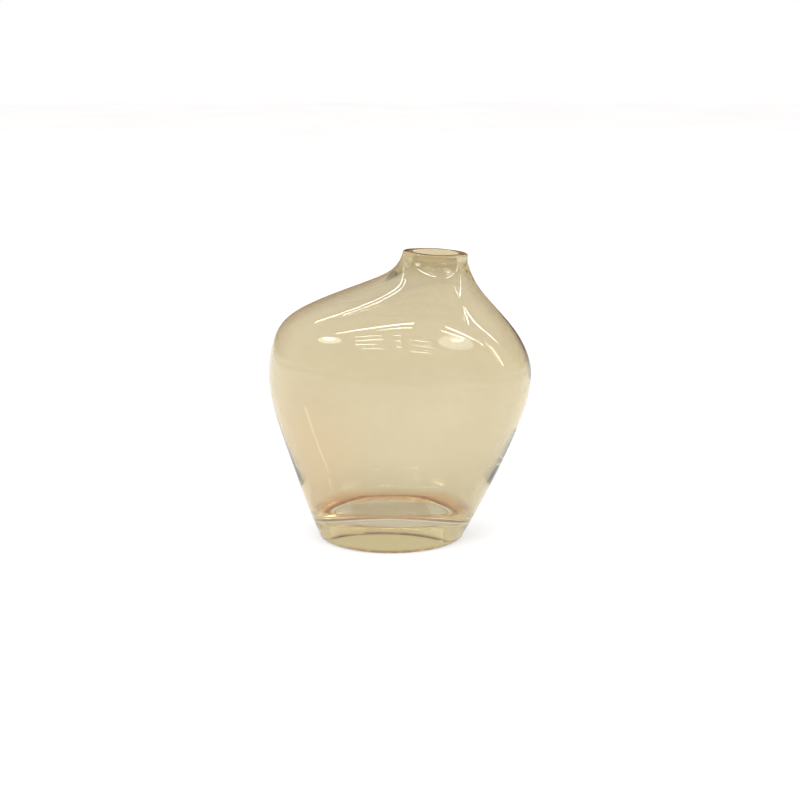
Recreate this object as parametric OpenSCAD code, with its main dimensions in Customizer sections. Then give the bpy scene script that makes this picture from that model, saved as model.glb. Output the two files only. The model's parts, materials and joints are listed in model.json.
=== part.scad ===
// Glass bud vase with a one-sided body: one blown glass vessel and a blank paper label under its foot.
// Millimetres, +Z up. The origin is the centre of the foot, on the surface that the vase stands on.

/* [Body] */
// Height of the middle of the mouth above the surface
vase_height = 150; // [135:1:165]
// Greatest width of the body, side to side
body_width = 136; // [125:1:145]
// Greatest depth of the body, front to back
body_depth = 98; // [92:1:112]

/* [Neck and mouth] */
// How far the mouth stands to the right of the foot
neck_shift = 22.5; // [16:0.5:26]
// Outer diameter of the lip
lip_d = 33.5; // [32:0.5:36]
// Diameter of the true bore in the mouth
mouth_d = 23.5; // [21:0.5:24.5]
// How far the mouth leans to the right, in degrees
mouth_lean = 3; // [0:0.5:6]

/* [Glass] */
// Thickness of the thinnest part of the wall, low on the left shoulder
wall_t = 1.6; // [1.4:0.1:2.2]
// Height of the cavity floor above the surface
floor_z = 10; // [8:0.5:13]
// Width of the flat middle of the cavity floor, side to side
floor_w = 56; // [40:1:60]
// Depth of the flat middle of the cavity floor, front to back
floor_l = 24; // [16:1:36]

/* [Foot] */
// Diameter across the flat ring that the vase stands on
foot_d = 66; // [64:1:70]
// Diameter of the shallow hollow under the foot
hollow_d = 61; // [57:0.5:62]
// Depth of the hollow under the foot
hollow_depth = 1; // [0.6:0.1:2]

/* [Label] */
// Width of the label
label_w = 41; // [30:1:44]
// Length of the label, front to back
label_l = 34; // [20:1:38]
// Thickness of the label
label_t = 0.2; // [0.1:0.05:0.4]
// Angle that the label is stuck on at, in degrees
label_turn = 6; // [-20:1:20]

/* [Hidden] */

segments = 48;       // points round each ring of the vessel
steps = 2;           // rings between two rows of the outline
lip_round = 1;       // rounding of the lip's outer edge
label_corner = 2;    // corner radius of the label
join_z = 30;         // height below which the cavity turns from wall into floor
lip_r = lip_d / 2;
mouth_r = mouth_d / 2;

// The outline for a body 136 wide, 98 deep and 150 tall, from the foot up. The rows are control points
// of a smooth curve: height, reach to the left, to the right, and to the front and back, and the
// thickness of the glass on the left and on the right as multiples of wall_t.
body_outline = [
    [2, 38, 38, 35.5, 5, 5],
    [20, 45.5, 48, 37.5, 3, 3.6],
    [40, 52, 58, 41, 1.9, 2.6],
    [60, 59, 66.5, 45, 1.4, 2.3],
    [78, 63.5, 72.5, 48, 1.2, 2.2],
    [92, 63.5, 73, 49, 1.1, 2],
    [104, 61.5, 68, 47.5, 1, 1.6],
    [113, 57.5, 61.5, 44.5, 1, 1.3],
    [120, 49, 55, 40, 1, 1.2],
    [126, 34, 50, 34.5, 1.1, 1.2],
    [132, 17, 45, 28, 1.4, 1.3]
];

// The neck in the same form, with its reaches measured from the neck's own axis in lip radii.
neck_outline = [
    [138, 1.42, 1.15, 1.28, 1.7, 1.5],
    [144, 1.09, 1, 1.05, 2.6, 2.4],
    [149, 1, 1, 1, 3.9, 3.9]
];

lean_from_z = 120;   // height at which the rings of the outline start to lean
high = vase_height / 150;
wide = body_width / 136;
deep = body_depth / 98;

// Height difference that the lean gives a point x to the right of the neck's axis.
function lean_drop(z, x) =
    (x - neck_shift) * tan(mouth_lean) * max(0, (z - lean_from_z) / (150 - lean_from_z));

// Every ring of the vessel is an ellipse: x and z of its left end, x and z of its right end, and half
// of its depth. A control row adds the thickness of the glass on the left and on the right.
function control_row(row, left, right, reach) = [
    -left, high * (row[0] - lean_drop(row[0], -left)),
    right, high * (row[0] - lean_drop(row[0], right)),
    reach, wall_t * row[4], wall_t * row[5]
];

rows = [
    for (r = body_outline) control_row(r, wide * r[1], wide * r[2], deep * r[3]),
    for (r = neck_outline)
        control_row(r, lip_r * r[1] - neck_shift, lip_r * r[2] + neck_shift, lip_r * r[3])
];
last = len(rows) - 1;

// Row i, with one more row past each end so that the curve reaches the first and last rows.
function row_at(i) =
    i < 0 ? 2 * rows[0] - rows[1] :
    i > last ? 2 * rows[last] - rows[last - 1] :
    rows[i];

// The outline at share t of the way from row i to row i + 1: a uniform cubic B-spline.
function outline_at(i, t) = (
    pow(1 - t, 3) * row_at(i - 1)
    + (3 * pow(t, 3) - 6 * t * t + 4) * row_at(i)
    + (3 * t * t - 3 * pow(t, 3) + 3 * t + 1) * row_at(i + 1)
    + pow(t, 3) * row_at(i + 2)
) / 6;

outline = [
    for (i = [0 : last - 1], k = [0 : steps - 1]) outline_at(i, k / steps),
    rows[last]
];

// The left end, the right end, and the front of a ring, each with its height.
function left_of(o) = [o[0], o[1]];
function right_of(o) = [o[2], o[3]];
function front_of(o) = [o[4], (o[1] + o[3]) / 2];
function unit(v) = v / norm(v);
function level_ring(half_w, half_l, z) = [-half_w, z, half_w, z, half_l];

// The inner surface beside sample i of the outline: the outline moved in by the thickness of the glass.
function inner_ring(i) =
    let (
        o = outline[i],
        a = outline[max(0, i - 1)],
        b = outline[min(len(outline) - 1, i + 1)],
        l = unit(left_of(b) - left_of(a)),
        r = unit(right_of(b) - right_of(a)),
        f = unit(front_of(b) - front_of(a))
    )
    [
        o[0] + o[5] * l[1], o[1] - o[5] * l[0],
        o[2] - o[6] * r[1], o[3] + o[6] * r[0],
        o[4] - (o[5] + o[6]) / 2 * f[1]
    ];

// The ring of radius r in the mouth's plane, moved by rise along the mouth's axis.
mouth_mid = (left_of(rows[last]) + right_of(rows[last])) / 2;
lean = atan2(rows[last][1] - rows[last][3], rows[last][2] - rows[last][0]);
mouth_up = [sin(lean), cos(lean)];
mouth_side = [cos(lean), -sin(lean)];
function mouth_ring(r, rise) =
    concat(
        mouth_mid + rise * mouth_up - r * mouth_side,
        mouth_mid + rise * mouth_up + r * mouth_side,
        [r]
    );

// Rounded outer edge of the foot, from the flat ring up to the first row.
foot_r = foot_d / 2;
foot_rings = [
    for (a = [0, 30, 60])
        level_ring(
            foot_r + (rows[0][2] - foot_r) * sin(a),
            foot_r + (rows[0][4] - foot_r) * sin(a),
            rows[0][1] * (1 - cos(a))
        )
];
outer_rings = [for (o = outline) [for (i = [0 : 4]) o[i]]];

// Rounded outer edge of the lip, its flat top, and a throat that the bore then widens.
throat_r = lip_r - rows[last][5];
lip_rings = [
    mouth_ring(lip_r - 0.3 * lip_round, 0.7 * lip_round),
    mouth_ring(lip_r - lip_round, lip_round),
    mouth_ring(throat_r, lip_round)
];

// The cavity: down the wall to join_z, then a curve that ends flat on the floor.
wall_samples = [for (i = [len(outline) - 2 : -1 : 0]) if (outline[i][1] > join_z * high) i];
wall_rings = [for (i = wall_samples) inner_ring(i)];
join = wall_rings[len(wall_rings) - 1];
above = wall_rings[len(wall_rings) - 2];

// A point of the curve that leaves top in the direction away from before, and ends level at bottom.
function bowl_point(top, before, bottom, t) =
    let (
        reach = norm(top - bottom) / 3,
        down = unit(top - before)
    )
    pow(1 - t, 3) * top
    + 3 * t * pow(1 - t, 2) * (top + 1.3 * reach * down)
    + 3 * t * t * (1 - t) * (bottom + [sign(bottom[0]) * 1.5 * reach, 0])
    + pow(t, 3) * bottom;
bowl_rings = [
    for (t = [1 / 7 : 1 / 7 : 1])
        concat(
            bowl_point(left_of(join), left_of(above), [-floor_w / 2, floor_z], t),
            bowl_point(right_of(join), right_of(above), [floor_w / 2, floor_z], t),
            [bowl_point(front_of(join), front_of(above), [floor_l / 2, floor_z], t)[0]]
        )
];

function ring_points(ring) =
    let (
        mid = (left_of(ring) + right_of(ring)) / 2,
        half = (right_of(ring) - left_of(ring)) / 2
    )
    [
        for (k = [0 : segments - 1])
            let (a = 360 * k / segments)
            [mid[0] + half[0] * cos(a), ring[4] * sin(a), mid[1] + half[1] * cos(a)]
    ];

// A closed solid with the given rings as its skin, in order, and a flat cap at each end.
module skin(rings) {
    count = len(rings);
    points = [for (r = rings) each ring_points(r)];
    bottom_cap = [for (k = [0 : segments - 1]) k];
    top_cap = [for (k = [segments - 1 : -1 : 0]) (count - 1) * segments + k];
    bands = [
        for (i = [0 : count - 2], k = [0 : segments - 1])
            let (
                a = i * segments + k,
                d = i * segments + (k + 1) % segments,
                b = a + segments,
                c = d + segments
            )
            each [[a, b, c], [a, c, d]]
    ];
    polyhedron(points = points, faces = concat([bottom_cap], bands, [top_cap]), convexity = 6);
}

// True bore through the mouth, along the mouth's own axis.
module mouth_bore() {
    bore_below = 9;
    translate([mouth_mid[0], 0, mouth_mid[1]])
        rotate([0, lean, 0])
            translate([0, 0, -bore_below])
                cylinder(r = mouth_r, h = bore_below + 3, $fn = 96);
}

module foot_hollow() {
    translate([0, 0, -1])
        cylinder(d = hollow_d, h = 1 + hollow_depth, $fn = 96);
}

module glass_vessel() {
    color([0.86, 0.76, 0.54, 0.6])
        difference() {
            skin(concat(foot_rings, outer_rings, lip_rings, wall_rings, bowl_rings));
            mouth_bore();
            foot_hollow();
        }
}

module base_label() {
    inner_w = label_w - 2 * label_corner;
    inner_l = label_l - 2 * label_corner;
    color("ivory")
        translate([0, 0, hollow_depth - label_t])
            rotate([0, 0, label_turn])
                linear_extrude(label_t) {
                    square([label_w, inner_l], center = true);
                    square([inner_w, label_l], center = true);
                    for (x = [-1, 1], y = [-1, 1])
                        translate([x * inner_w / 2, y * inner_l / 2])
                            circle(r = label_corner, $fn = 32);
                }
}

glass_vessel();
base_label();
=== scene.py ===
"""Glass bud vase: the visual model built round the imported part.

Every length is in metres and every position is in the part's own frame.
"""
import json
import math

import bpy
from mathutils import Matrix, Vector, noise


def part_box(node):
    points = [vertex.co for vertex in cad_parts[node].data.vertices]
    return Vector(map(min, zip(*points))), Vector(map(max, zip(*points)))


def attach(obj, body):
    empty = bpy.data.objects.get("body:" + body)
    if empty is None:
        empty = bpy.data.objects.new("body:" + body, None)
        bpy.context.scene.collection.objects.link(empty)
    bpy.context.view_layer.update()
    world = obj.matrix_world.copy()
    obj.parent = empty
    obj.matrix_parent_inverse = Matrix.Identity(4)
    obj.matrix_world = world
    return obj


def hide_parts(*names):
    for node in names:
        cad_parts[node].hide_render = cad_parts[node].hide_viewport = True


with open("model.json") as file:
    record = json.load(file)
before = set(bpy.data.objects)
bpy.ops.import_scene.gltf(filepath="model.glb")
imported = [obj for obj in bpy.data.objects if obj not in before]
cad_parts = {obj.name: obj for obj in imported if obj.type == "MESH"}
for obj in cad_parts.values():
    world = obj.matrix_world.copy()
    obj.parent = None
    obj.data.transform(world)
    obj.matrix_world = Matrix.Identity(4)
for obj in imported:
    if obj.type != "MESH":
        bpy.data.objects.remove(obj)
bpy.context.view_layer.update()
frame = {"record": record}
MM = 0.001

# ---------------------------------------------------------------- sizes from the frame
VESSEL = "glass_vessel"
LABEL = "base_label"
mounts = {m["name"]: m for m in frame["record"]["mounts"]}
mouth = mounts["mouth_bore"]
MOUTH_R = mouth["dims"]["r_mm"] * MM
label_low, label_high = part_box(LABEL)
NECK_SHIFT = mouth["pos_m"][0]

# ---------------------------------------------------------------- outline of the vessel
WALL_T = 1.6 * MM
LIP_R = 16.75 * MM
LIP_ROUND = 1.0 * MM
MOUTH_LEAN = math.radians(3)
LEAN_FROM_Z = 120 * MM
LEAN_TO_Z = 150 * MM
FOOT_R = 33 * MM
HOLLOW_R = 30.5 * MM
HOLLOW_DEPTH = 1.0 * MM
FLOOR_Z = 10 * MM
FLOOR_WIDE = 28 * MM
FLOOR_DEEP = 12 * MM
JOIN_Z = 30 * MM
BOWL_WALL = 1.3
BOWL_FLOOR = 1.5
MOUTH_EDGE = 0.25 * MM
BORE_LENGTH = 4.0 * MM

# Height, reach to the left, to the right, and to the front and back (mm), and the thickness of the glass
# on the left and on the right (multiples of WALL_T).
BODY_OUTLINE = [
    (2, 38, 38, 35.5, 5, 5),
    (20, 45.5, 48, 37.5, 3, 3.6),
    (40, 52, 58, 41, 1.9, 2.6),
    (60, 59, 66.5, 45, 1.4, 2.3),
    (78, 63.5, 72.5, 48, 1.2, 2.2),
    (92, 63.5, 73, 49, 1.1, 2),
    (104, 61.5, 68, 47.5, 1, 1.6),
    (113, 57.5, 61.5, 44.5, 1, 1.3),
    (120, 49, 55, 40, 1, 1.2),
    (126, 34, 50, 34.5, 1.1, 1.2),
    (132, 17, 45, 28, 1.4, 1.3),
]
# The same for the neck, its reaches measured from the neck's own axis in lip radii.
NECK_OUTLINE = [
    (138, 1.42, 1.15, 1.28, 1.7, 1.5),
    (144, 1.09, 1, 1.05, 2.6, 2.4),
    (149, 1, 1, 1, 3.9, 3.9),
]
SEGMENTS = 144
STEPS = 12
BOWL_STEPS = 30

LABEL_WIDTH = 41 * MM
LABEL_LENGTH = 34 * MM
LABEL_CORNER = 2 * MM
LABEL_TURN = math.radians(6)
LABEL_GAP = 0.05 * MM

# Colours that the glass gives to light that crosses it twice.
CLEAR = (1, 1, 1)
LUSTRE = (0.615, 0.535, 0.355)
WARM = (0.68, 0.50, 0.29)
# Painted reflection: the orange of light that runs back and forth through the thick base.
PAINTED_AMBER_REFLECTION = (0.82, 0.38, 0.13)
# Painted shade: the dark maroon of the thick base's edges and the foot's rim.
PAINTED_EDGE_SHADE = (0.16, 0.06, 0.07)


def lean_drop(z, x):
    share = max(0, (z - LEAN_FROM_Z) / (LEAN_TO_Z - LEAN_FROM_Z))
    return (x - NECK_SHIFT) * math.tan(MOUTH_LEAN) * share


def control_row(z, left, right, deep, glass_left, glass_right):
    """Left x and z, right x and z, half the depth, and the glass on the left and on the right."""
    return (
        -left,
        z - lean_drop(z, -left),
        right,
        z - lean_drop(z, right),
        deep,
        WALL_T * glass_left,
        WALL_T * glass_right,
    )


def control_rows():
    rows = [control_row(z * MM, a * MM, b * MM, d * MM, g, h) for z, a, b, d, g, h in BODY_OUTLINE]
    for z, a, b, d, g, h in NECK_OUTLINE:
        rows.append(control_row(z * MM, LIP_R * a - NECK_SHIFT, LIP_R * b + NECK_SHIFT, LIP_R * d, g, h))
    return rows


def spline(rows, steps):
    """Samples of a uniform cubic B-spline that starts and ends on the first and last rows."""
    def mirror(a, b):
        return tuple(2 * p - q for p, q in zip(a, b))

    padded = [mirror(rows[0], rows[1]), *rows, mirror(rows[-1], rows[-2])]
    samples = []
    for i in range(len(rows) - 1):
        for k in range(steps):
            t = k / steps
            weights = (
                (1 - t) ** 3,
                3 * t ** 3 - 6 * t ** 2 + 4,
                3 * t ** 2 - 3 * t ** 3 + 3 * t + 1,
                t ** 3,
            )
            samples.append(
                tuple(
                    sum(w * padded[i + j][c] for j, w in enumerate(weights)) / 6
                    for c in range(len(rows[0]))
                )
            )
    samples.append(rows[-1])
    return samples


def unit(v):
    size = math.hypot(*v)
    return (v[0] / size, v[1] / size)


# A ring of the vessel is an ellipse: the x and z of its left end, the x and z of its right end, and
# half of its depth, front to back.
def inner_ring(samples, i):
    """The inner surface's ring beside sample i of the outline."""
    a, b = samples[max(0, i - 1)], samples[min(len(samples) - 1, i + 1)]
    left = unit((b[0] - a[0], b[1] - a[1]))
    right = unit((b[2] - a[2], b[3] - a[3]))
    front = unit((b[4] - a[4], (b[1] + b[3] - a[1] - a[3]) / 2))
    o = samples[i]
    return (
        o[0] + o[5] * left[1],
        o[1] - o[5] * left[0],
        o[2] - o[6] * right[1],
        o[3] + o[6] * right[0],
        o[4] - (o[5] + o[6]) / 2 * front[1],
    )


def level_ring(r, z):
    return (-r, z, r, z, r)


def ring_z(ring):
    return (ring[1] + ring[3]) / 2


def foot_rings(first):
    """The underside: the hollow, the flat ring that the vase stands on, and its rounded outer edge."""
    rings = [level_ring(HOLLOW_R * share, HOLLOW_DEPTH) for share in (0.25, 0.5, 0.75, 0.95)]
    for r, z in ((-0.35, 1.0), (-0.1, 0.9), (0, 0.65), (0.05, 0.35), (0.2, 0.1), (0.5, 0)):
        rings.append(level_ring(HOLLOW_R + r * MM, HOLLOW_DEPTH * z))
    flat_from = HOLLOW_R + 0.5 * MM
    for share in (0.3, 0.6, 0.9):
        rings.append(level_ring(flat_from + (FOOT_R - flat_from) * share, 0))
    for a in range(0, 90, 10):
        out = math.sin(math.radians(a))
        z = first[1] * (1 - math.cos(math.radians(a)))
        rings.append(
            (
                -FOOT_R + (first[0] + FOOT_R) * out,
                z,
                FOOT_R + (first[2] - FOOT_R) * out,
                z,
                FOOT_R + (first[4] - FOOT_R) * out,
            )
        )
    return rings


def mouth_ring(top, r, rise):
    """A ring of radius r in the mouth's own plane, moved by rise along the mouth's axis."""
    side = unit((top[2] - top[0], top[3] - top[1]))
    x = (top[0] + top[2]) / 2 - rise * side[1]
    z = (top[1] + top[3]) / 2 + rise * side[0]
    return (x - r * side[0], z - r * side[1], x + r * side[0], z + r * side[1], r)


def lip_rings(top):
    """The lip's rounded outer edge and its flat top."""
    rings = []
    for a in range(15, 91, 15):
        turn = math.radians(a)
        r = LIP_R - LIP_ROUND * (1 - math.cos(turn))
        rings.append(mouth_ring(top, r, LIP_ROUND * math.sin(turn)))
    flat_from, flat_to = LIP_R - LIP_ROUND, MOUTH_R + MOUTH_EDGE
    for share in (0.25, 0.5, 0.75):
        rings.append(mouth_ring(top, flat_from + (flat_to - flat_from) * share, LIP_ROUND))
    return rings


def bore_rings(top):
    """The eased inner edge of the mouth and the true bore below it."""
    rings = []
    for a in range(0, 91, 30):
        turn = math.radians(a)
        r = MOUTH_R + MOUTH_EDGE * (1 - math.sin(turn))
        rings.append(mouth_ring(top, r, LIP_ROUND - MOUTH_EDGE * (1 - math.cos(turn))))
    depth = LIP_ROUND - MOUTH_EDGE
    while depth > LIP_ROUND - BORE_LENGTH:
        depth -= 0.5 * MM
        rings.append(mouth_ring(top, MOUTH_R, depth))
    return rings


def bowl_rings(join, above):
    """The curve from the wall to the flat middle of the cavity's floor."""
    def curve(p, q, e, t):
        reach = math.hypot(p[0] - e[0], p[1] - e[1]) / 3
        down = unit((p[0] - q[0], p[1] - q[1]))
        first = (p[0] + BOWL_WALL * reach * down[0], p[1] + BOWL_WALL * reach * down[1])
        last = (e[0] + math.copysign(BOWL_FLOOR * reach, e[0]), e[1])
        return tuple(
            (1 - t) ** 3 * p[c]
            + 3 * t * (1 - t) ** 2 * first[c]
            + 3 * t * t * (1 - t) * last[c]
            + t ** 3 * e[c]
            for c in (0, 1)
        )

    rings = []
    for i in range(1, BOWL_STEPS + 1):
        t = i / BOWL_STEPS
        left = curve(join[0:2], above[0:2], (-FLOOR_WIDE, FLOOR_Z), t)
        right = curve(join[2:4], above[2:4], (FLOOR_WIDE, FLOOR_Z), t)
        deep = curve((join[4], ring_z(join)), (above[4], ring_z(above)), (FLOOR_DEEP, FLOOR_Z), t)
        rings.append((*left, *right, deep[0]))
    return rings


def outside_rings(samples):
    """From the middle of the underside up to the top of the lip."""
    return foot_rings(samples[0]) + [s[0:5] for s in samples] + lip_rings(samples[-1])


def inside_rings(samples):
    """From the mouth down to the middle of the cavity's floor."""
    rings = bore_rings(samples[-1])
    bore_end = ring_z(rings[-1])
    wall = [inner_ring(samples, i) for i in range(len(samples) - 1, -1, -1) if samples[i][1] > JOIN_Z]
    wall = [w for w in wall if ring_z(w) < bore_end - 0.3 * MM and w[4] > MOUTH_R + 0.1 * MM]
    rings += wall
    rings += bowl_rings(wall[-1], wall[-2])
    for share in (0.75, 0.5, 0.25):
        rings.append((-FLOOR_WIDE * share, FLOOR_Z, FLOOR_WIDE * share, FLOOR_Z, FLOOR_DEEP * share))
    return rings


def ring_points(ring):
    ax, az, bx, bz, deep = ring
    mx, mz, hx, hz = (ax + bx) / 2, (az + bz) / 2, (bx - ax) / 2, (bz - az) / 2
    points = []
    for k in range(SEGMENTS):
        a = math.tau * k / SEGMENTS
        points.append((mx + hx * math.cos(a), deep * math.sin(a), mz + hz * math.cos(a)))
    return points


def new_object(name, verts, faces, smooth=True):
    mesh = bpy.data.meshes.new(name)
    mesh.from_pydata(verts, [], faces)
    mesh.update()
    if smooth:
        mesh.polygons.foreach_set("use_smooth", [True] * len(mesh.polygons))
    obj = bpy.data.objects.new(name, mesh)
    bpy.context.scene.collection.objects.link(obj)
    return obj


def blend(first, second, share):
    share = max(0.0, min(1.0, share))
    return tuple(p + (q - p) * share for p, q in zip(first, second))


def inside_tint(z):
    """Clear, but a little amber in the bore, and a painted orange reflection just above the cavity's
    floor, in the tight part of the bowl's curve.
    """
    rise = (z - FLOOR_Z) / MM
    colour = blend(CLEAR, LUSTRE, 0.09 * (z / MM - 137))
    # Painted reflection: an orange band in the bowl's curve, just above the cavity's floor.
    return blend(colour, PAINTED_AMBER_REFLECTION, 0.7 * min(rise / 0.3, (6 - rise) / 3.5))


def outside_tint(x, y, z):
    """The lustre, warmer low on the left, with painted dark-brown shade at the sides of the thick base and
    round the foot, and a painted orange reflection round the hollow.
    """
    if z < 2.2 * MM:
        r = math.hypot(x, y) / MM
        colour = blend(CLEAR, LUSTRE, (r - 33) / 1.5)
        # Painted reflection: an orange ring at the edge of the hollow under the foot.
        colour = blend(colour, PAINTED_AMBER_REFLECTION, 1 - abs(r - 30.3) / 0.9)
        if r < 33.2:
            return colour
        # Painted shade and painted glints: dark and orange flecks round the foot's outer rim.
        glint_noise = noise.noise(Vector((x, y, 0)) / (2.2 * MM))
        edge = blend(PAINTED_EDGE_SHADE, PAINTED_AMBER_REFLECTION, 1.6 * glint_noise)
        return blend(colour, edge, 1.3 - abs(z / MM - 0.9))
    warm = blend(LUSTRE, WARM, 0.5 * min(1, (-x / MM - 4) / 36) * min(1, max(0, (92 - z / MM) / 50)))
    # Painted shade: darker brown near the outline of the thick base, low down.
    reach = abs(x) / MM - (38 + 0.35 * z / MM)
    return blend(warm, PAINTED_EDGE_SHADE, 0.85 * min(1, (reach + 4) / 3) * max(0, min(1, (13 - z / MM) / 4)))


def build_vessel():
    samples = spline(control_rows(), STEPS)
    outside = outside_rings(samples)
    rings = outside + inside_rings(samples)
    verts = [(0, 0, HOLLOW_DEPTH)]
    for ring in rings:
        verts += ring_points(ring)
    verts.append((0, 0, FLOOR_Z))
    end = len(verts) - 1
    last = 1 + (len(rings) - 1) * SEGMENTS
    faces = []
    for k in range(SEGMENTS):
        n = (k + 1) % SEGMENTS
        faces.append((0, 1 + n, 1 + k))
        faces.append((end, last + k, last + n))
        for i in range(len(rings) - 1):
            a = 1 + i * SEGMENTS
            b = a + SEGMENTS
            faces.append((a + k, a + n, b + n, b + k))
    obj = new_object("vase_glass", verts, faces)
    edge = 1 + len(outside) * SEGMENTS
    tints = [inside_tint(v[2]) if i >= edge else outside_tint(*v) for i, v in enumerate(verts)]
    tint = obj.data.color_attributes.new("tint", "FLOAT_COLOR", "POINT")
    tint.data.foreach_set("color", [c for colour in tints for c in (*colour, 1)])
    return obj


def build_label():
    """The paper label, a hair below the glass, with rounded corners."""
    cos_turn, sin_turn = math.cos(LABEL_TURN), math.sin(LABEL_TURN)
    outline = []
    for k in range(4):
        sx = 1 if k in (0, 3) else -1
        sy = 1 if k < 2 else -1
        for i in range(9):
            a = math.radians(90 * k + 90 * i / 8)
            x = sx * (LABEL_WIDTH / 2 - LABEL_CORNER) + LABEL_CORNER * math.cos(a)
            y = sy * (LABEL_LENGTH / 2 - LABEL_CORNER) + LABEL_CORNER * math.sin(a)
            outline.append((x * cos_turn - y * sin_turn, x * sin_turn + y * cos_turn))
    n = len(outline)
    high_z = label_high.z - LABEL_GAP
    low_z = label_low.z
    verts = [(x, y, low_z) for x, y in outline] + [(x, y, high_z) for x, y in outline]
    faces = [tuple(range(n - 1, -1, -1)), tuple(range(n, 2 * n))]
    faces += [(i, (i + 1) % n, n + (i + 1) % n, n + i) for i in range(n)]
    return new_object("label_sheet", verts, faces, smooth=False)


# ---------------------------------------------------------------- materials
def material(name):
    mat = bpy.data.materials.new(name)
    mat.use_nodes = True
    return mat, mat.node_tree.nodes, mat.node_tree.links


def noise_node(nodes, links, place, scale, detail):
    node = nodes.new("ShaderNodeTexNoise")
    node.inputs["Scale"].default_value = scale
    node.inputs["Detail"].default_value = detail
    links.new(place.outputs["Object"], node.inputs["Vector"])
    return node


def ramp_node(nodes, links, source, stops):
    node = nodes.new("ShaderNodeValToRGB")
    while len(node.color_ramp.elements) < len(stops):
        node.color_ramp.elements.new(0.5)
    for element, (place, colour) in zip(node.color_ramp.elements, stops):
        element.position = place
        element.color = colour
    links.new(source.outputs["Fac"], node.inputs["Fac"])
    return node


def range_node(nodes, links, value, low, high, to_low, to_high):
    node = nodes.new("ShaderNodeMapRange")
    node.inputs["From Min"].default_value = low
    node.inputs["From Max"].default_value = high
    node.inputs["To Min"].default_value = to_low
    node.inputs["To Max"].default_value = to_high
    links.new(value, node.inputs["Value"])
    return node.outputs["Result"]


def multiply_node(nodes, links, first, second):
    node = nodes.new("ShaderNodeMix")
    node.data_type = "RGBA"
    node.blend_type = "MULTIPLY"
    node.inputs["Factor"].default_value = 1
    links.new(first, node.inputs["A"])
    links.new(second, node.inputs["B"])
    return node.outputs["Result"]


def glass_material():
    """Clear glass with a faint amber body, an amber lustre fired on its outside, and painted shade and
    painted reflection round the base.
    """
    mat, nodes, links = material("amber_glass")
    shader = nodes["Principled BSDF"]
    out = nodes["Material Output"]
    shader.inputs["IOR"].default_value = 1.5
    shader.inputs["Transmission Weight"].default_value = 1.0

    place = nodes.new("ShaderNodeTexCoord")
    # The tint attribute holds the lustre and also the painted shade and painted reflection round the base.
    tint = nodes.new("ShaderNodeVertexColor")
    tint.layer_name = "tint"
    clouds = noise_node(nodes, links, place, 14, 2)
    shades = ramp_node(nodes, links, clouds, [(0.3, (0.955, 0.945, 0.93, 1)), (0.7, (1, 1, 1, 1))])
    cloudy = multiply_node(nodes, links, tint.outputs["Color"], shades.outputs["Color"])
    seeds = noise_node(nodes, links, place, 260, 3)
    specks = ramp_node(nodes, links, seeds, [(0.25, (0.975, 0.96, 0.93, 1)), (0.45, (1, 1, 1, 1))])
    speckled = multiply_node(nodes, links, cloudy, specks.outputs["Color"])
    links.new(speckled, shader.inputs["Base Color"])

    smears = noise_node(nodes, links, place, 60, 4)
    matt = range_node(nodes, links, smears.outputs["Fac"], 0.55, 0.8, 0, 0.005)
    links.new(matt, shader.inputs["Roughness"])

    ripples = noise_node(nodes, links, place, 45, 2)
    bump = nodes.new("ShaderNodeBump")
    bump.inputs["Strength"].default_value = 0.03
    bump.inputs["Distance"].default_value = 0.4 * MM
    links.new(ripples.outputs["Fac"], bump.inputs["Height"])
    links.new(bump.outputs["Normal"], shader.inputs["Normal"])

    body = nodes.new("ShaderNodeVolumeAbsorption")
    body.inputs["Color"].default_value = (0.84, 0.76, 0.22, 1)
    body.inputs["Density"].default_value = 6
    links.new(body.outputs["Volume"], out.inputs["Volume"])
    return mat


def paper_material():
    """Uncoated paper: fibres in the colour, the roughness and the relief."""
    mat, nodes, links = material("label_paper")
    shader = nodes["Principled BSDF"]
    place = nodes.new("ShaderNodeTexCoord")
    fibres = noise_node(nodes, links, place, 420, 6)
    stains = ramp_node(nodes, links, fibres, [(0.35, (0.93, 0.85, 0.68, 1)), (0.65, (1, 0.94, 0.78, 1))])
    hatch = nodes.new("ShaderNodeTexWave")
    hatch.bands_direction = "DIAGONAL"
    hatch.inputs["Scale"].default_value = 420
    hatch.inputs["Distortion"].default_value = 1.5
    links.new(place.outputs["Object"], hatch.inputs["Vector"])
    lines = ramp_node(nodes, links, hatch, [(0.2, (0.86, 0.78, 0.68, 1)), (0.6, (1, 1, 1, 1))])
    hatched = multiply_node(nodes, links, stains.outputs["Color"], lines.outputs["Color"])
    links.new(hatched, shader.inputs["Base Color"])
    shader.inputs["Subsurface Weight"].default_value = 0.8
    shader.inputs["Subsurface Radius"].default_value = (1, 1, 1)
    shader.inputs["Subsurface Scale"].default_value = 2 * MM
    links.new(range_node(nodes, links, fibres.outputs["Fac"], 0, 1, 0.7, 0.95), shader.inputs["Roughness"])
    bump = nodes.new("ShaderNodeBump")
    bump.inputs["Strength"].default_value = 0.4
    bump.inputs["Distance"].default_value = 0.05 * MM
    links.new(fibres.outputs["Fac"], bump.inputs["Height"])
    links.new(bump.outputs["Normal"], shader.inputs["Normal"])
    return mat


def floor_material():
    """A white table top that is lit softly from below as well."""
    mat, nodes, links = material("studio_floor")
    shader = nodes["Principled BSDF"]
    place = nodes.new("ShaderNodeTexCoord")
    clouds = noise_node(nodes, links, place, 3, 3)
    shades = ramp_node(nodes, links, clouds, [(0.3, (0.49, 0.49, 0.49, 1)), (0.7, (0.51, 0.51, 0.51, 1))])
    links.new(shades.outputs["Color"], shader.inputs["Base Color"])
    links.new(shades.outputs["Color"], shader.inputs["Emission Color"])
    shader.inputs["Emission Strength"].default_value = 1.0
    shader.inputs["Roughness"].default_value = 0.9
    return mat


# ---------------------------------------------------------------- the object
vase = build_vessel()
vase.data.materials.append(glass_material())
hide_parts(VESSEL)
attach(vase, "root")

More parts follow.
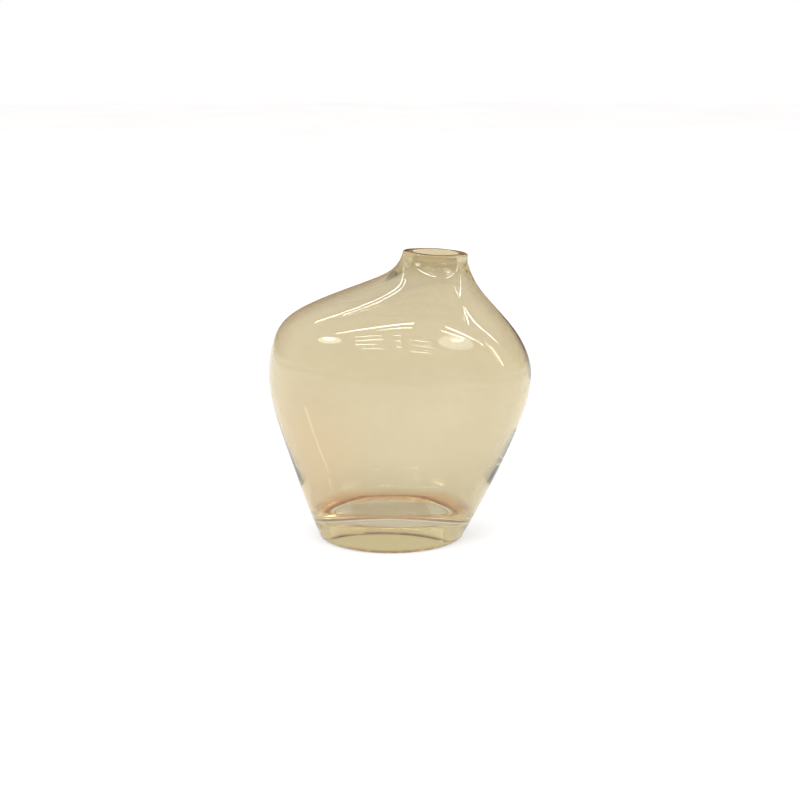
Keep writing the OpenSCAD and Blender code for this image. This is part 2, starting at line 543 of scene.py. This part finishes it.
label = build_label()
label.data.materials.append(paper_material())
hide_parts(LABEL)
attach(label, "root")


# ---------------------------------------------------------------- studio
def build_floor():
    size = 6.0
    obj = new_object(
        "studio_floor",
        [(-size, -size, 0), (size, -size, 0), (size, size, 0), (-size, size, 0)],
        [(0, 1, 2, 3)],
    )
    obj.data.materials.append(floor_material())


def tube(name, start, end, width, radiance):
    """A fluorescent tube on the ceiling, from one point to another."""
    dx, dy = end[0] - start[0], end[1] - start[1]
    lamp = bpy.data.lights.new(name, "AREA")
    lamp.shape = "RECTANGLE"
    lamp.size = math.hypot(dx, dy)
    lamp.size_y = width
    lamp.energy = radiance * math.pi * lamp.size * width
    obj = bpy.data.objects.new(name, lamp)
    obj.location = ((start[0] + end[0]) / 2, (start[1] + end[1]) / 2, CEILING)
    obj.rotation_euler = (0, 0, math.atan2(dy, dx))
    bpy.context.scene.collection.objects.link(obj)


def panel(name, az, el, distance, width, height, radiance, shape="RECTANGLE", warm=(1, 1, 1)):
    """A lamp that faces the vase. Azimuth 0 is in front, and 90 is on the right."""
    az, el = math.radians(az), math.radians(el)
    heading = Vector((math.cos(el) * math.sin(az), -math.cos(el) * math.cos(az), math.sin(el)))
    lamp = bpy.data.lights.new(name, "AREA")
    lamp.shape = shape
    lamp.size = width
    lamp.size_y = height
    lamp.color = warm
    area = width * height * (math.pi / 4 if shape == "ELLIPSE" else 1)
    lamp.energy = radiance * math.pi * area
    obj = bpy.data.objects.new(name, lamp)
    obj.location = Vector((0, 0, 0.1)) + distance * heading
    obj.rotation_euler = heading.to_track_quat("Z", "Y").to_euler()
    bpy.context.scene.collection.objects.link(obj)


# Start and end (x, y) of each tube on the ceiling, and its width: two long rows behind the vase, rows
# over its front and its right side, and short rows ever further in front of it.
CEILING = 2.0
TUBE_RADIANCE = 23
TUBES = [
    ((-0.5, 0.86), (-1.55, 1.02), 0.048),
    ((-0.45, 0.62), (-0.95, 0.70), 0.03),
    ((0.4, -1.03), (-1.65, -0.87), 0.06),
    ((0.4, -1.25), (-0.5, -1.23), 0.03),
    ((1.35, -0.92), (3.4, -0.68), 0.054),
    ((1.3, -1.2), (2.3, -1.08), 0.036),
    ((1.97, -0.15), (1.93, 0.2), 0.036),
    ((2.0, 0.25), (3.9, 0.75), 0.048),
    ((-1.3, -1.75), (-0.45, -1.78), 0.04),
    ((-1.55, -2.3), (-0.45, -2.35), 0.05),
    ((-1.9, -3.05), (-0.9, -3.1), 0.06),
    ((-2.0, -4.2), (-0.7, -4.25), 0.08),
    ((-0.05, -1.9), (0.15, -1.9), 0.04),
    ((0.0, -2.6), (0.22, -2.6), 0.05),
    ((0.05, -3.7), (0.3, -3.7), 0.07),
    ((0.5, -2.4), (1.2, -2.35), 0.03),
    ((0.75, -3.2), (1.7, -3.1), 0.04),
    ((0.85, -4.5), (2.0, -4.4), 0.06),
]


def build_lights():
    for i, (start, end, width) in enumerate(TUBES):
        tube(f"tube_{i}", start, end, width, TUBE_RADIANCE)
    panel("pendant_left", -59, 32, 2.6, 1.0, 0.6, 4, "ELLIPSE")
    panel("pendant_left_core", -61, 34, 2.5, 0.5, 0.2, 10, "ELLIPSE")
    panel("pendant_right", 52, 34, 2.6, 1.3, 0.75, 2.4, "ELLIPSE")
    panel("pendant_right_core", 55, 36, 2.5, 0.5, 0.14, 8, "ELLIPSE")
    panel("window_right", 86, 17, 3.0, 0.12, 1.0, 9, warm=(1, 0.88, 0.76))


def glossy_only(obj):
    obj.visible_camera = False
    obj.visible_diffuse = False
    obj.visible_transmission = False
    obj.visible_volume_scatter = False
    obj.visible_shadow = False


def shop_material():
    """The dim shop that the glass reflects above and beyond the bright table."""
    mat, nodes, links = material("shop_grey")
    shader = nodes["Principled BSDF"]
    place = nodes.new("ShaderNodeTexCoord")
    clouds = noise_node(nodes, links, place, 0.8, 3)
    shades = ramp_node(nodes, links, clouds, [(0.3, (0.66, 0.64, 0.58, 1)), (0.7, (0.88, 0.86, 0.80, 1))])
    depth = nodes.new("ShaderNodeSeparateXYZ")
    links.new(place.outputs["Object"], depth.inputs["Vector"])
    behind = nodes.new("ShaderNodeMix")
    behind.data_type = "RGBA"
    low = nodes.new("ShaderNodeMath")
    low.operation = "MULTIPLY"
    links.new(range_node(nodes, links, depth.outputs["Y"], 1, 4, 0, 1), low.inputs[0])
    links.new(range_node(nodes, links, depth.outputs["Z"], 3, 6, 1, 0), low.inputs[1])
    links.new(low.outputs["Value"], behind.inputs["Factor"])
    links.new(shades.outputs["Color"], behind.inputs["A"])
    behind.inputs["B"].default_value = (0.22, 0.085, 0.05, 1)
    links.new(behind.outputs["Result"], shader.inputs["Emission Color"])
    shader.inputs["Emission Strength"].default_value = 1.0
    shader.inputs["Base Color"].default_value = (0, 0, 0, 1)
    shader.inputs["Roughness"].default_value = 1
    return mat


def build_shop():
    """A dome round the table and a dim floor past the table's edges, which only reflections see."""
    grey = shop_material()
    radius, rows, columns = 9.0, 10, 32
    verts = []
    for i in range(rows):
        el = math.radians(90 * i / rows)
        for k in range(columns):
            az = math.tau * k / columns
            reach = radius * math.cos(el)
            verts.append((reach * math.cos(az), reach * math.sin(az), radius * math.sin(el)))
    verts.append((0, 0, radius))
    top = len(verts) - 1
    faces = []
    for k in range(columns):
        n = (k + 1) % columns
        for i in range(rows - 1):
            faces.append((i * columns + k, (i + 1) * columns + k, (i + 1) * columns + n, i * columns + n))
        faces.append(((rows - 1) * columns + k, top, (rows - 1) * columns + n))
    dome = new_object("shop_dome", verts, faces)
    left, right, front, back, far, z = -1.0, 0.55, -0.47, 1.6, 5.9, 1 * MM
    verts = [
        (-far, -far, z), (far, -far, z), (far, front, z), (-far, front, z),
        (-far, back, z), (left, front, z), (left, back, z),
        (right, front, z), (far, back, z), (right, back, z),
        (far, far, z), (-far, far, z),
    ]
    faces = [(0, 1, 2, 3), (3, 5, 6, 4), (7, 2, 8, 9), (4, 8, 10, 11)]
    floor = new_object("shop_floor", verts, faces, smooth=False)
    for obj in (dome, floor):
        obj.data.materials.append(grey)
        glossy_only(obj)


def build_world():
    world = bpy.data.worlds.new("room")
    bpy.context.scene.world = world
    world.use_nodes = True
    back = world.node_tree.nodes["Background"]
    back.inputs["Color"].default_value = (1, 1, 1, 1)
    back.inputs["Strength"].default_value = 1.0


def build_camera():
    cam = bpy.data.cameras.new("camera")
    cam.lens = 77
    cam.sensor_width = 36
    obj = bpy.data.objects.new("camera", cam)
    eye = Vector((0.0045, -0.87, 0.258))
    aim = Vector((0.0045, 0, 0.0727))
    obj.location = eye
    obj.rotation_euler = (aim - eye).to_track_quat("-Z", "Y").to_euler()
    bpy.context.scene.collection.objects.link(obj)
    bpy.context.scene.camera = obj


build_floor()
build_lights()
build_shop()
build_world()
build_camera()
scene = bpy.context.scene
scene.view_settings.view_transform = "Standard"
scene.cycles.max_bounces = 32
scene.cycles.transmission_bounces = 32
scene.cycles.glossy_bounces = 16
